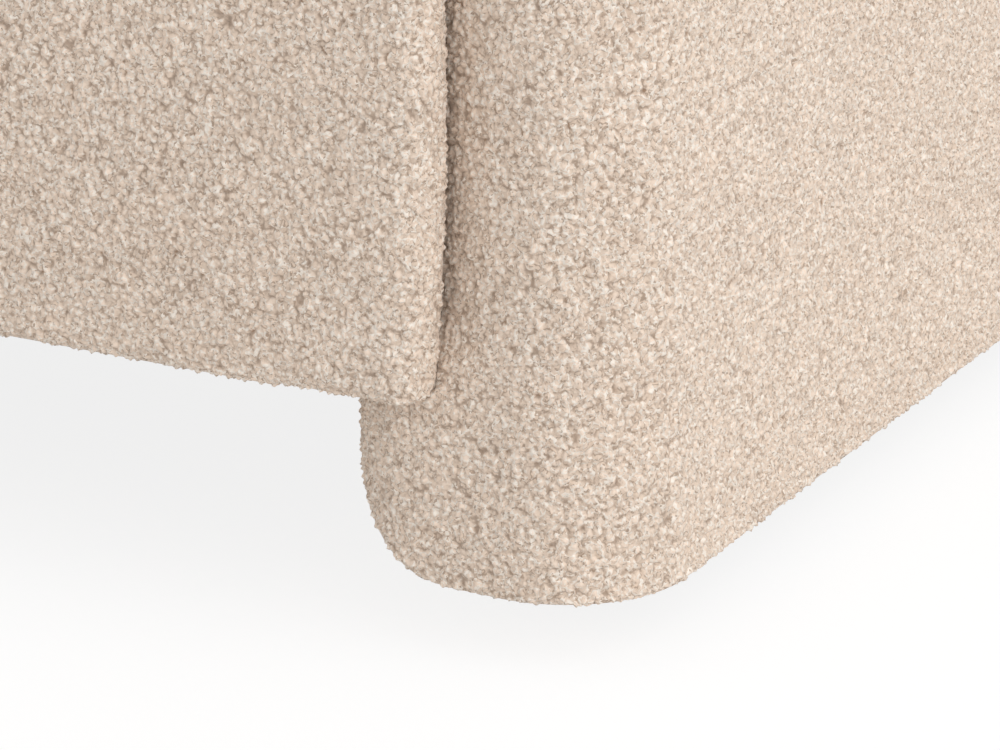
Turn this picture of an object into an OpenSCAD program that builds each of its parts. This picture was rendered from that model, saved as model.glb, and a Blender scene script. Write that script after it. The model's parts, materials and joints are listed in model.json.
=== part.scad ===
// Three-seat upholstered sofa: rounded arms that reach almost to the floor, a raised
// tight seat whose nose laps over the arm fronts, a reclined back and low wooden feet.
// Millimetres. X runs along the width, Y from the front to the back, Z up.
// The origin is on the floor under the middle of the sofa.

/* [Overall] */
// Width over both arms
overall_w = 2100; // [1700:10:2500]
// Depth from the seat nose to the back
overall_d = 900; // [820:10:1000]
// Height of the back's top edge
back_h = 760; // [720:5:840]

/* [Arms] */
// Thickness of an arm
arm_w = 200; // [180:5:240]
// Height of an arm's top
arm_h = 610; // [570:5:670]
// Radius of an arm's upright front and rear corners, seen from above
arm_end_r = 80; // [60:2:90]
// Radius of an arm's two top edges, seen from the front
arm_top_r = 80; // [60:2:90]
// Radius of an arm's lower inner corner, seen from the front
arm_low_r = 95; // [80:1:110]
// Radius of an arm's top corners, seen from the side
arm_crest_r = 110; // [60:5:160]
// Foam in front of an arm's first rib and behind its last
arm_end_foam = 70; // [50:2:90]

/* [Seat] */
// Height of the seat's top
seat_h = 440; // [410:5:470]
// Height of the seat's and the back's underside
seat_clear = 150; // [130:5:180]
// How far the seat nose stands in front of the arms
nose_out = 28; // [20:1:40]
// How far the seat nose laps over each arm's front
nose_lap = 78; // [50:1:90]
// Radius of the nose's upright ends, seen from above
nose_end_r = 24; // [12:1:27]
// Radius of the seat's top front edge and of the nose's top corners
seat_edge_r = 80; // [40:1:90]
// Foam in front of the seat's front rail
seat_front_foam = 45; // [25:1:60]

/* [Back] */
// Thickness of the back at the seat
back_t = 215; // [200:5:240]
// Thickness of the back at its top
back_top_t = 165; // [160:5:200]
// Radius of the back's top edges and corners
back_roll_r = 72; // [50:1:78]

/* [Back cushions] */
// Thickness of a loose back cushion
cushion_t = 150; // [120:5:180]
// Height of a loose back cushion along the back
cushion_h = 365; // [330:5:400]
// Radius of a cushion's top and side edges
cushion_edge_r = 58; // [40:1:59]
// Radius of a cushion's corners, seen from the front
cushion_corner_r = 70; // [40:1:90]

/* [Upholstery] */
// Thickness of the cover fabric
cover_t = 3; // [2:0.5:4]
// Radius of the cover where it rolls under a lower edge
hem_r = 12; // [8:1:18]
// Foam over the arm and back frames
frame_foam = 22; // [15:1:30]
// Foam around the rounded lower corner of the arm's ribs
corner_foam = 25; // [15:1:30]
// Width of the cover turned under each bottom
turn_under = 15; // [10:1:25]
// Gap between neighbouring covers
cover_gap = 0.3; // [0.2:0.1:0.5]

/* [Frame] */
// Thickness of the plywood ribs and uprights
rib_t = 18; // [15:1:25]
// Thickness of the frame rails
rail_t = 25; // [20:1:30]
// Height of the seat frame rails
rail_h = 130; // [100:5:140]
// Width of the arm bottom rail, seat centre rail and back top rail
beam_w = 50; // [40:5:60]
// Thickness of the hardboard panels
panel_t = 4; // [3:0.5:6]
// Height of an arm's rails and of the back's rear rail
slim_h = 40; // [30:5:60]
// Leg length of the seat frame's corner blocks
block_leg = 70; // [50:5:90]

/* [Suspension] */
// Number of zigzag springs on each half of the seat
springs_per_half = 5; // [3:1:6]
// Wire thickness of a zigzag spring
wire_t = 4; // [3:0.5:5]
// Width of a zigzag spring
spring_w = 50; // [40:2:60]
// Number of bars in a zigzag spring
spring_bars = 16; // [11:1:20]
// Thickness of the spring clips
clip_t = 1.5; // [1:0.5:2]
// Length of a spring clip along the spring
clip_l = 20; // [14:1:25]
// Width of a spring clip
clip_w = 24; // [16:1:40]
// Thickness of the felt over the springs
felt_t = 5; // [3:1:8]
// Number of webbing straps across the back
back_straps = 4; // [3:1:5]
// Width of a webbing strap
strap_w = 50; // [40:5:60]
// Thickness of a webbing strap
strap_t = 2; // [1:0.5:2]

/* [Feet and legs] */
// Height of the feet under the arms
foot_h = 40; // [30:1:45]
// Diameter of a foot at its top
foot_d = 44; // [36:1:50]
// Diameter of a foot at the floor
foot_tip_d = 36; // [30:1:50]
// Distance from an arm's outer face to the middle of its feet
foot_inset = 87; // [78:1:92]
// Distance from an arm's end to the middle of its nearest foot
foot_end_inset = 170; // [140:5:200]
// Diameter of a centre leg at its top
leg_d = 52; // [44:1:60]
// Diameter of a centre leg at the floor
leg_tip_d = 34; // [28:1:44]
// Distance from the seat frame's end to the middle of a centre leg
leg_inset = 90; // [70:5:150]
// Thickness of the felt pads under feet and legs
pad_t = 3; // [2:0.5:5]
// How much smaller across a pad is than the foot or leg on it
pad_rim = 2; // [0:0.5:4]
// Side of a centre leg's steel plate
plate_w = 64; // [62:1:80]
// Thickness of a centre leg's steel plate
plate_t = 3; // [2:0.5:4]

/* [Bolts] */
// Diameter of every bolt
bolt_d = 8; // [6:1:10]
// Clearance on the diameter of a joining bolt's hole
bolt_play = 1; // [0.5:0.1:1.5]
// Number of bolts that join each arm to the seat
arm_bolt_count = 3; // [2:1:4]
// Number of bolts that join each half of the back to the seat
back_bolt_count = 2; // [1:1:3]
// Depth of a hanger bolt in a foot or leg
hanger_depth = 18; // [12:1:20]

/* [Hidden] */
$fn = 48;
hull_fn = 32;                             // facets of the rounds inside a hull
eps = 1;                                  // how far cutting shapes run past a face
tuck = 0.5;                               // how far a rounding runs past the flats it joins
half_w = overall_w / 2;
front_y = -overall_d / 2;
back_y = overall_d / 2;
arm_front_y = front_y + nose_out;
arm_in_x = half_w - arm_w;
inner_half_w = arm_in_x - cover_gap;      // half the width of what fits between the arms

// arm outlines, seen from above, from the front and from the side
arm_plan_outline = rect([arm_in_x, arm_front_y], [half_w, back_y]);
arm_front_outline = rect([arm_in_x, foot_h], [half_w, arm_h]);
arm_side_outline = rect([arm_front_y, foot_h], [back_y, arm_h]);

// arm frame
arm_base_z = foot_h + cover_t;
rib_out_x = half_w - cover_t - frame_foam;
rib_in_x = arm_in_x + cover_t + frame_foam;
rib_top_z = arm_h - cover_t - frame_foam;
rib_low_r = arm_low_r - corner_foam;
rib_top_r = arm_top_r - cover_t - frame_foam;
rib_first_y = arm_front_y + arm_end_foam;
rib_last_y = back_y - arm_end_foam - rib_t;
rib_ys = [rib_first_y, (rib_first_y + rib_last_y) / 2, rib_last_y];
arm_rail_x = rib_in_x + rib_low_r;
arm_rail_w = rib_out_x - arm_rail_x;
bearer_x = arm_in_x + cover_t;
bearer_w = rib_in_x - panel_t - bearer_x;

// seat frame
seat_base_z = seat_clear + cover_t;
rail_top_z = seat_base_z + rail_h;
clip_top_z = rail_top_z + wire_t + clip_t;
deck_z = clip_top_z + felt_t;
back_front_y = back_y - back_t;
seat_back_y = back_front_y - cover_gap;
seat_frame_half_w = inner_half_w - cover_t;
seat_frame_front_y = front_y + cover_t + seat_front_foam;
seat_frame_back_y = seat_back_y - cover_t;
side_rail_front_y = seat_frame_front_y + rail_t;
side_rail_back_y = seat_frame_back_y - rail_t;
side_rail_len = side_rail_back_y - side_rail_front_y;
nose_half_w = arm_in_x + nose_lap;
bolt_z = seat_base_z + rail_h / 2;

// back frame
recline = atan2(back_t - back_top_t, back_h - seat_h);
knee = [back_front_y, seat_h];            // where the back starts to recline
slope_len = norm([back_y - back_top_t, back_h] - knee);
upright_inset = cover_t + frame_foam;
back_frame_half_w = inner_half_w - cover_t - frame_foam;
lower_rail_y = back_front_y + cover_t;
lower_rail_t = frame_foam;
rear_panel_y = back_y - upright_inset;
top_rail_y = back_y - (back_top_t + rail_t) / 2;
top_rail_z = back_h - upright_inset - slim_h;
strap_pitch = (slope_len - back_roll_r) / back_straps;
upright_xs = [-back_frame_half_w, -rib_t / 2, back_frame_half_w - rib_t];

// springs
spring_y0 = seat_frame_front_y + rail_t / 2;
spring_y1 = seat_frame_back_y - rail_t / 2;
bar_pitch = (spring_y1 - spring_y0) / (spring_bars - 1);
half_span = seat_frame_half_w - rail_t - beam_w / 2;
spring_pitch = half_span / springs_per_half;
spring_xs = [for (side = [-1, 1], k = [0 : springs_per_half - 1])
    side * (beam_w / 2 + spring_pitch * (k + 0.5))];

// bolts
washer_t = 1.6;
washer_r = bolt_d;
nut_h = 0.8 * bolt_d;
nut_r = 0.9 * bolt_d;
head_h = 0.65 * bolt_d;
bolt_tail = 2;                            // bolt past its nut
washer_play = 0.2;                        // clearance on the diameter of a washer's hole
nut_play = 0.1;                           // clearance on the diameter of a nut's hole
hanger_r = (bolt_d - nut_play) / 2;
arm_bolt_ys = [for (k = [0 : arm_bolt_count - 1])
    side_rail_front_y + side_rail_len * (k + 0.5) / arm_bolt_count];
back_bolt_xs = [for (side = [-1, 1], k = [0 : back_bolt_count - 1])
    side * (rib_t / 2 + (back_frame_half_w - rib_t * 1.5) * (k + 0.5) / back_bolt_count)];
foot_x = half_w - foot_inset;
foot_ys = [arm_front_y + foot_end_inset, back_y - foot_end_inset];
leg_ys = [seat_frame_front_y + leg_inset, seat_frame_back_y - leg_inset];
leg_top_z = seat_clear - plate_t;

boucle = [0.86, 0.78, 0.70];
timber = [0.80, 0.66, 0.46];
plywood = [0.78, 0.62, 0.42];
foam = [0.94, 0.92, 0.82];
wood = [0.55, 0.36, 0.20];
steel = [0.70, 0.71, 0.73];
cloth = [0.12, 0.12, 0.13];
felt = [0.45, 0.44, 0.42];

// ---------------------------------------------------------------- outlines and helpers

function unit(v) = v / norm(v);

function rect(low, high) = [low, [high.x, low.y], high, [low.x, high.y]];

// where the two edges at p meet once both have moved in by d
function inner_point(before, p, after, d) =
    let (a = unit(before - p), b = unit(after - p))
    p + unit(a + b) * d / sin(acos(a * b) / 2);

function taken_in(outline, d) =
    let (n = len(outline))
    [for (k = [0 : n - 1])
        inner_point(outline[(k + n - 1) % n], outline[k], outline[(k + 1) % n], d)];

// what rounding the corner at p to radius r takes away
module corner_waste(before, p, after, r) {
    centre = inner_point(before, p, after, r);
    touch = [for (q = [before, after]) p + unit(q - p) * ((centre - p) * unit(q - p))];
    past = [for (q = [touch[0], p, touch[1]]) q + unit(q - centre) * eps];
    difference() {
        polygon([centre, past[0], past[1], past[2]]);
        translate(centre) circle(r + tuck);
    }
}

// a convex outline with its own radius at each corner, taken in by inset all round
module rounded(outline, radii, inset = 0) {
    n = len(outline);
    inner = taken_in(outline, inset);
    difference() {
        polygon(inner);
        for (k = [0 : n - 1])
            if (radii[k] > inset)
                corner_waste(inner[(k + n - 1) % n], inner[k], inner[(k + 1) % n],
                             radii[k] - inset);
    }
}

// a front-view outline (x, z) made into a prism from y0 to y1
module along_y(y0, y1) {
    translate([0, y1, 0]) rotate([90, 0, 0]) linear_extrude(y1 - y0) children();
}

// a side-view outline (y, z) made into a prism from x0 to x1
module along_x(x0, x1) {
    translate([x0, 0, 0]) rotate([90, 0, 90]) linear_extrude(x1 - x0) children();
}

module block(low, high) {
    translate(low) cube(high - low);
}

module left_side() {
    mirror([1, 0, 0]) children();
}

module hole_x(x0, x1, y, z, d) {
    translate([x0, y, z]) rotate([0, 90, 0]) cylinder(h = x1 - x0, d = d);
}

module hole_y(y0, y1, x, z, d) {
    translate([x, y1, z]) rotate([90, 0, 0]) cylinder(h = y1 - y0, d = d);
}

module hole_z(z0, z1, x, y, d) {
    translate([x, y, z0]) cylinder(h = z1 - z0, d = d);
}

// ---------------------------------------------------------------- arms (right-hand one)

module arm_plan(inset) {
    rounded(arm_plan_outline, [for (k = [1 : 4]) arm_end_r], inset);
}

// the outer form of an arm, taken in by inset all round
module arm_form(inset) {
    intersection() {
        translate([0, 0, foot_h - eps]) linear_extrude(arm_h - foot_h + 2 * eps) arm_plan(inset);
        along_y(arm_front_y - eps, back_y + eps)
            rounded(arm_front_outline, [arm_low_r, hem_r, arm_top_r, arm_top_r], inset);
        along_x(arm_in_x - eps, half_w + eps)
            rounded(arm_side_outline, [hem_r, hem_r, arm_crest_r, arm_crest_r], inset);
    }
}

module arm_rib_outline() {
    rounded(rect([rib_in_x, arm_base_z], [rib_out_x, rib_top_z]),
            [rib_low_r, 0, rib_top_r, rib_top_r]);
}

module arm_window(z0, z1) {
    block([arm_in_x + arm_low_r + turn_under / 2, arm_front_y + foot_end_inset / 2, z0],
          [half_w - hem_r - turn_under / 2, back_y - foot_end_inset / 2, z1]);
}

module arm_bolt_holes() {
    for (y = arm_bolt_ys)
        hole_x(seat_frame_half_w - rail_t - eps, rib_in_x + rail_t, y, bolt_z, bolt_d + bolt_play);
}

module foot_bolt_holes() {
    for (y = foot_ys) hole_z(foot_h - hanger_depth, arm_base_z + slim_h, foot_x, y, bolt_d);
}

module arm_cover() {
    color(boucle) difference() {
        arm_form(0);
        arm_form(cover_t);
        arm_window(foot_h - eps, arm_base_z + eps);
        arm_bolt_holes();
    }
}

module arm_foam() {
    color(foam) difference() {
        arm_form(cover_t);
        along_y(rib_first_y, rib_last_y + rib_t) arm_rib_outline();
        arm_panel_outer();
        arm_panel_inner();
        arm_bearer_blank();
        arm_bolt_holes();
        arm_window(foot_h - eps, arm_base_z);
    }
}

module arm_ribs() {
    color(plywood) for (y = rib_ys) difference() {
        along_y(y, y + rib_t) arm_rib_outline();
        arm_rails();
    }
}

// bottom rail, top rail and the rail that the inner panel is nailed to
module arm_rails() {
    color(timber) difference() {
        union() {
            block([arm_rail_x, rib_first_y, arm_base_z],
                  [arm_rail_x + arm_rail_w, rib_last_y + rib_t, arm_base_z + slim_h]);
            block([(rib_in_x + rib_out_x - beam_w) / 2, rib_first_y, rib_top_z - rail_t],
                  [(rib_in_x + rib_out_x + beam_w) / 2, rib_last_y + rib_t, rib_top_z]);
            block([rib_in_x, rib_first_y, seat_h],
                  [rib_in_x + rail_t, rib_last_y + rib_t, seat_h + slim_h]);
        }
        foot_bolt_holes();
    }
}

module arm_panel_outer() {
    color(plywood)
        block([rib_out_x, rib_first_y, arm_base_z],
              [rib_out_x + panel_t, rib_last_y + rib_t, rib_top_z - rib_top_r]);
}

module arm_panel_inner() {
    color(plywood) difference() {
        block([rib_in_x - panel_t, rib_first_y, arm_base_z + rib_low_r],
              [rib_in_x, rib_last_y + rib_t, rib_top_z - rib_top_r]);
        arm_bolt_holes();
    }
}

module arm_bearer_blank() {
    block([bearer_x, side_rail_front_y, seat_base_z],
          [bearer_x + bearer_w, side_rail_back_y, rail_top_z]);
}

// timber spacer between the inner panel and the cover, where the seat is bolted on
module arm_bearer() {
    color(timber) difference() {
        arm_bearer_blank();
        arm_bolt_holes();
    }
}

module arm_dust_cover() {
    color(cloth) difference() {
        arm_window(foot_h, arm_base_z);
        foot_bolt_holes();
    }
}

module foot(y) {
    color(wood) difference() {
        translate([foot_x, y, pad_t]) cylinder(h = foot_h - pad_t, d1 = foot_tip_d, d2 = foot_d);
        foot_bolt_holes();
    }
}

// ---------------------------------------------------------------- seat

// the outer form of the seat: a body between the arms and a nose that laps over them
module seat_form(inset) {
    side = inner_half_w - inset;
    nose_back_y = arm_front_y + arm_end_r;
    intersection() {
        union() {
            block([-side, front_y, seat_clear - eps], [side, seat_back_y - inset, seat_h + eps]);
            difference() {
                intersection() {
                    translate([0, 0, seat_clear - eps])
                        linear_extrude(seat_h - seat_clear + 2 * eps)
                            rounded(rect([-nose_half_w, front_y], [nose_half_w, nose_back_y]),
                                    [nose_end_r, nose_end_r, 0, 0], inset);
                    along_y(front_y - eps, nose_back_y + eps)
                        rounded(rect([-nose_half_w, seat_clear], [nose_half_w, seat_h]),
                                [hem_r, hem_r, seat_edge_r, seat_edge_r], inset);
                }
                translate([0, 0, seat_clear - 2 * eps])
                    linear_extrude(seat_h - seat_clear + 4 * eps) {
                        arm_plan(-cover_gap - inset);
                        mirror([1, 0]) arm_plan(-cover_gap - inset);
                    }
            }
        }
        along_x(-half_w, half_w)
            rounded(rect([front_y, seat_clear], [back_y, seat_h]), [hem_r, 0, 0, seat_edge_r],
                    inset);
    }
}

module seat_window(z0, z1) {
    edge = rail_t + turn_under;
    block([-seat_frame_half_w + edge, seat_frame_front_y + turn_under, z0],
          [seat_frame_half_w - edge, seat_frame_back_y - turn_under, z1]);
}

module leg_bolt_holes() {
    for (y = leg_ys) hole_z(leg_top_z - hanger_depth, seat_base_z + slim_h, 0, y, bolt_d);
}

module back_bolt_holes() {
    for (x = back_bolt_xs)
        hole_y(side_rail_back_y - eps, lower_rail_y + lower_rail_t + eps, x, bolt_z,
               bolt_d + bolt_play);
}

module seat_cover() {
    color(boucle) difference() {
        seat_form(0);
        seat_form(cover_t);
        seat_window(seat_clear - eps, seat_base_z + eps);
        arm_bolt_holes();
        left_side() arm_bolt_holes();
        back_bolt_holes();
    }
}

module seat_foam() {
    color(foam) difference() {
        seat_form(cover_t);
        block([-seat_frame_half_w - eps, seat_frame_front_y, seat_clear],
              [seat_frame_half_w + eps, seat_frame_back_y + eps, deck_z]);
    }
}

module seat_felt() {
    color(felt)
        block([-seat_frame_half_w, seat_frame_front_y, clip_top_z],
              [seat_frame_half_w, seat_frame_back_y, deck_z]);
}

// one half-turn of zigzag wire, bulging towards +X
module wire_bend() {
    intersection() {
        difference() {
            circle(bar_pitch / 2 + wire_t / 2);
            circle(bar_pitch / 2 - wire_t / 2);
        }
        translate([0, -bar_pitch]) square([bar_pitch, 2 * bar_pitch]);
    }
}

module spring_outline() {
    bar_half = spring_w / 2 - bar_pitch / 2;
    for (k = [0 : spring_bars - 1])
        translate([-bar_half, k * bar_pitch - wire_t / 2]) square([2 * bar_half, wire_t]);
    for (k = [0 : spring_bars - 2])
        translate([0, (k + 0.5) * bar_pitch])
            mirror([k % 2, 0]) translate([bar_half, 0]) wire_bend();
}

module seat_springs() {
    color(steel) for (x = spring_xs)
        translate([x, spring_y0, rail_top_z]) linear_extrude(wire_t) spring_outline();
}

module spring_clips() {
    color(steel) for (x = spring_xs, y = [spring_y0, spring_y1])
        translate([x - clip_w / 2, y - clip_l / 2, rail_top_z + wire_t])
            cube([clip_w, clip_l, clip_t]);
}

module seat_front_rail() {
    color(timber)
        block([-seat_frame_half_w, seat_frame_front_y, seat_base_z],
              [seat_frame_half_w, side_rail_front_y, rail_top_z]);
}

module seat_rear_rail() {
    color(timber) difference() {
        block([-seat_frame_half_w, side_rail_back_y, seat_base_z],
              [seat_frame_half_w, seat_frame_back_y, rail_top_z]);
        back_bolt_holes();
    }
}

module seat_side_rail() {
    color(timber) difference() {
        block([seat_frame_half_w - rail_t, side_rail_front_y, seat_base_z],
              [seat_frame_half_w, side_rail_back_y, rail_top_z]);
        arm_bolt_holes();
    }
}

module seat_centre_rail() {
    color(timber) difference() {
        block([-beam_w / 2, side_rail_front_y, seat_base_z],
              [beam_w / 2, side_rail_back_y, rail_top_z - rail_t / 2]);
        leg_bolt_holes();
    }
}

module corner_block() {
    linear_extrude(slim_h) polygon([[0, 0], [block_leg, 0], [0, block_leg]]);
}

module seat_corner_blocks() {
    x = seat_frame_half_w - rail_t;
    z = rail_top_z - slim_h - rail_t / 2;
    color(timber) for (side = [0, 1]) mirror([side, 0, 0]) {
        translate([-x, side_rail_front_y, z]) corner_block();
        translate([-x, side_rail_back_y, z]) mirror([0, 1, 0]) corner_block();
    }
}

module seat_dust_cover() {
    color(cloth) difference() {
        seat_window(seat_clear, seat_base_z);
        leg_bolt_holes();
    }
}

// ---------------------------------------------------------------- legs, pads and bolts

module centre_leg(y) {
    color(wood) difference() {
        translate([0, y, pad_t]) cylinder(h = leg_top_z - pad_t, d1 = leg_tip_d, d2 = leg_d);
        leg_bolt_holes();
    }
}

module leg_plates() {
    color(steel) difference() {
        for (y = leg_ys)
            translate([-plate_w / 2, y - plate_w / 2, leg_top_z]) cube([plate_w, plate_w, plate_t]);
        leg_bolt_holes();
    }
}

module floor_pads() {
    color(felt) {
        for (side = [-1, 1], y = foot_ys)
            translate([side * foot_x, y, 0]) cylinder(h = pad_t, d = foot_tip_d - pad_rim);
        for (y = leg_ys) translate([0, y, 0]) cylinder(h = pad_t, d = leg_tip_d - pad_rim);
    }
}

module hanger_bolts() {
    color(steel) {
        for (side = [-1, 1], y = foot_ys)
            translate([side * foot_x, y, foot_h - hanger_depth])
                cylinder(h = hanger_depth + cover_t + slim_h, r = hanger_r);
        for (y = leg_ys)
            translate([0, y, leg_top_z - hanger_depth])
                cylinder(h = hanger_depth + plate_t + cover_t + slim_h, r = hanger_r);
    }
}

// bolt along +Z with its head below the origin, clamping a stack of the given length
module clamp_bolt(stack) {
    translate([0, 0, -washer_t - head_h]) cylinder(h = head_h, r = nut_r);
    translate([0, 0, -washer_t - eps])
        cylinder(h = stack + 2 * washer_t + nut_h + bolt_tail + eps, d = bolt_d);
}

module clamp_washer() {
    difference() {
        cylinder(h = washer_t, r = washer_r);
        translate([0, 0, -eps]) cylinder(h = washer_t + 2 * eps, d = bolt_d + washer_play);
    }
}

module clamp_nut() {
    difference() {
        cylinder(h = nut_h, r = nut_r, $fn = 6);
        translate([0, 0, -eps]) cylinder(h = nut_h + 2 * eps, d = bolt_d + nut_play);
    }
}

module clamp_set(stack) {
    clamp_bolt(stack);
    translate([0, 0, -washer_t]) clamp_washer();
    translate([0, 0, stack]) clamp_washer();
    translate([0, 0, stack + washer_t]) clamp_nut();
}

module arm_bolts() {
    x0 = seat_frame_half_w - rail_t;
    color(steel) for (y = arm_bolt_ys)
        translate([x0, y, bolt_z]) rotate([0, 90, 0]) clamp_set(rib_in_x - x0);
}

module back_bolts() {
    color(steel) for (x = back_bolt_xs)
        translate([x, side_rail_back_y, bolt_z]) rotate([-90, 0, 0])
            clamp_set(lower_rail_y + lower_rail_t - side_rail_back_y);
}

// ---------------------------------------------------------------- back

function back_outline(foot_z) =
    [[back_y, foot_z], [back_y, back_h], [back_y - back_top_t, back_h], knee,
     [back_front_y, foot_z]];

module back_form(inset) {
    side = inner_half_w - inset;
    centres = taken_in(back_outline(seat_clear), back_roll_r);
    inner_knee = taken_in(back_outline(seat_clear), inset)[3];
    hull() {
        for (x = [-1, 1] * (inner_half_w - back_roll_r), c = [centres[1], centres[2]])
            translate([x, c.x, c.y]) sphere(back_roll_r - inset, $fn = hull_fn);
        for (x = [-1, 1] * (inner_half_w - hem_r))
            hole_y(back_front_y + inset, back_y - inset, x, seat_clear + hem_r,
                   2 * (hem_r - inset), $fn = hull_fn);
        block([-side, back_front_y + inset, inner_knee.y - eps],
              [side, back_y - inset, inner_knee.y]);
    }
}

// a slice of the back's frame, inset from the outer form but reaching down to foot_z
module back_slice(x0, x1, inset, foot_z) {
    along_x(x0, x1)
        rounded(back_outline(foot_z - inset), [0, back_roll_r, back_roll_r, 0, 0], inset);
}

module back_window(z0, z1) {
    block([-back_frame_half_w + turn_under, lower_rail_y + turn_under, z0],
          [back_frame_half_w - turn_under, rear_panel_y - turn_under, z1]);
}

module back_cover() {
    color(boucle) difference() {
        back_form(0);
        back_form(cover_t);
        back_window(seat_clear - eps, seat_base_z + eps);
        back_bolt_holes();
    }
}

module back_foam() {
    color(foam) difference() {
        back_form(cover_t);
        back_slice(-back_frame_half_w, back_frame_half_w, upright_inset - strap_t, seat_clear);
        block([-back_frame_half_w, lower_rail_y - eps, seat_clear],
              [back_frame_half_w, lower_rail_y + lower_rail_t, rail_top_z]);
        back_panel();
    }
}

module back_upright(x) {
    color(plywood) difference() {
        back_slice(x, x + rib_t, upright_inset, seat_base_z);
        back_top_rail();
        back_rear_rail();
    }
}

module back_lower_rail() {
    color(timber) difference() {
        block([-back_frame_half_w, lower_rail_y, seat_base_z],
              [back_frame_half_w, lower_rail_y + lower_rail_t, rail_top_z]);
        back_bolt_holes();
    }
}

module back_rear_rail() {
    color(timber)
        block([-back_frame_half_w, rear_panel_y - rail_t, seat_base_z],
              [back_frame_half_w, rear_panel_y, seat_base_z + slim_h]);
}

module back_top_rail() {
    color(timber)
        block([-back_frame_half_w, top_rail_y, top_rail_z],
              [back_frame_half_w, top_rail_y + rail_t, top_rail_z + slim_h]);
}

// straps across the reclined front edges of the uprights
module back_webbing() {
    start = knee + upright_inset * [1, -tan(recline / 2)];
    color(cloth) for (k = [0 : back_straps - 1])
        translate([-back_frame_half_w, start.x, start.y]) rotate([-recline, 0, 0])
            translate([0, -strap_t, strap_pitch * (k + 0.5) - strap_w / 2])
                cube([2 * back_frame_half_w, strap_t, strap_w]);
}

module back_panel() {
    color(plywood)
        block([-back_frame_half_w, rear_panel_y, seat_base_z],
              [back_frame_half_w, rear_panel_y + panel_t, back_h - back_roll_r]);
}

module back_dust_cover() {
    color(cloth) back_window(seat_clear, seat_base_z);
}

// ---------------------------------------------------------------- back cushions (right-hand one)

// an upright slab whose rear face lies in the plane y = 0, taken in by inset all round
module cushion_slab(inset) {
    x0 = cover_gap;
    x1 = inner_half_w - cover_gap;
    low = -cushion_t;
    edge = cushion_edge_r;
    corner = cushion_corner_r;
    intersection() {
        translate([0, 0, 2 * low]) linear_extrude(cushion_h - 4 * low)
            rounded(rect([x0, -cushion_t], [x1, 0]), [edge, edge, edge, edge], inset);
        along_y(-2 * cushion_t, cushion_t)
            rounded(rect([x0, low], [x1, cushion_h]), [0, 0, corner, corner], inset);
        along_x(x0 - eps, x1 + eps)
            rounded(rect([-cushion_t, low], [0, cushion_h]), [0, 0, edge, edge], inset);
    }
}

// the slab leant on the back, with a level underside where it sits on the seat
module cushion_form(inset) {
    seat_z = seat_h + cover_gap;
    heel = [knee.x - cover_gap / cos(recline) + cover_gap * tan(recline), seat_z];
    difference() {
        translate([0, heel.x, heel.y]) rotate([-recline, 0, 0]) cushion_slab(inset);
        block([-eps, front_y, 0], [half_w, back_y, seat_z + inset]);
    }
}

module cushion_cover() {
    color(boucle) difference() {
        cushion_form(0);
        cushion_form(cover_t);
    }
}

module cushion_insert() {
    color(foam) cushion_form(cover_t);
}

// ---------------------------------------------------------------- nodes

left_side() arm_cover();  // arm_cover_left
arm_cover();  // arm_cover_right
left_side() arm_foam();  // arm_foam_left
arm_foam();  // arm_foam_right
left_side() arm_ribs();  // arm_ribs_left
arm_ribs();  // arm_ribs_right
left_side() arm_rails();  // arm_rails_left
arm_rails();  // arm_rails_right
left_side() arm_panel_outer();  // arm_outer_panel_left
arm_panel_outer();  // arm_outer_panel_right
left_side() arm_panel_inner();  // arm_inner_panel_left
arm_panel_inner();  // arm_inner_panel_right
left_side() arm_bearer();  // arm_bearer_left
arm_bearer();  // arm_bearer_right
left_side() arm_dust_cover();  // arm_dust_cover_left
arm_dust_cover();  // arm_dust_cover_right
left_side() foot(foot_ys[0]);  // foot_front_left
foot(foot_ys[0]);  // foot_front_right
left_side() foot(foot_ys[1]);  // foot_rear_left
foot(foot_ys[1]);  // foot_rear_right
seat_cover();
seat_foam();
seat_felt();
seat_springs();
spring_clips();
seat_front_rail();
seat_rear_rail();
left_side() seat_side_rail();  // seat_side_rail_left
seat_side_rail();  // seat_side_rail_right
seat_centre_rail();
seat_corner_blocks();
seat_dust_cover();
centre_leg(leg_ys[0]);  // centre_leg_front
centre_leg(leg_ys[1]);  // centre_leg_rear
leg_plates();
floor_pads();
hanger_bolts();
left_side() arm_bolts();  // arm_bolts_left
arm_bolts();  // arm_bolts_right
back_bolts();
back_cover();
back_foam();
back_upright(upright_xs[0]);  // back_upright_left
back_upright(upright_xs[1]);  // back_upright_centre
back_upright(upright_xs[2]);  // back_upright_right
back_lower_rail();
back_rear_rail();
back_top_rail();
back_webbing();
back_panel();
back_dust_cover();
left_side() cushion_cover();  // cushion_cover_left
cushion_cover();  // cushion_cover_right
left_side() cushion_insert();  // cushion_insert_left
cushion_insert();  // cushion_insert_right
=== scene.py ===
import json
import math

import bmesh
import bpy
import numpy as np
from mathutils import Matrix, Vector


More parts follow.
